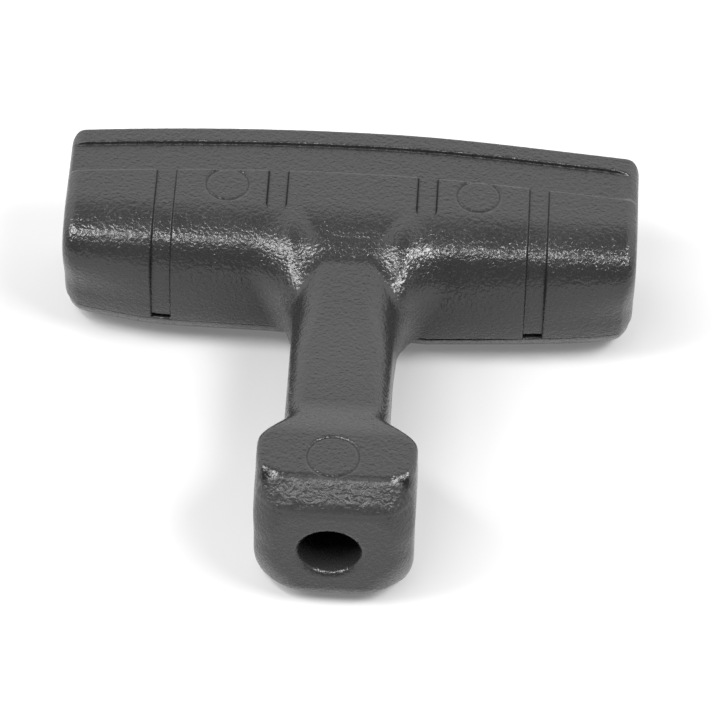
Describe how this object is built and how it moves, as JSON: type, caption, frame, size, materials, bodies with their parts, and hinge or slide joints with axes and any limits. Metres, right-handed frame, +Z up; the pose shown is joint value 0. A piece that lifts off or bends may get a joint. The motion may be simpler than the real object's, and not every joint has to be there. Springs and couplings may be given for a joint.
{
  "type": "radiator bleed key",
  "caption": "T-shaped moulded grip with a square block at the end of its stem; a steel square socket sits behind the block's round mouth.",
  "frame": {"origin": "centre of the footprint, on the surface that the key lies on", "axes": "+X along the grip bar, +Y from the key's mouth to the bar, +Z up"},
  "size_m": [0.07, 0.06, 0.02],
  "materials": {
    "grip_plastic": "fine moulded grain, satin",
    "cover_plastic": "fine moulded grain, satin",
    "shank_steel": "blackened, turned",
    "pin_steel": "ground",
    "screw_steel": "zinc plated"
  },
  "bodies": {
    "root": {"grip_body": "grip_plastic", "base_cover": "cover_plastic", "drive_shank": "shank_steel", "cross_pin": "pin_steel", "cover_screws": "screw_steel"}
  },
  "joints": []
}
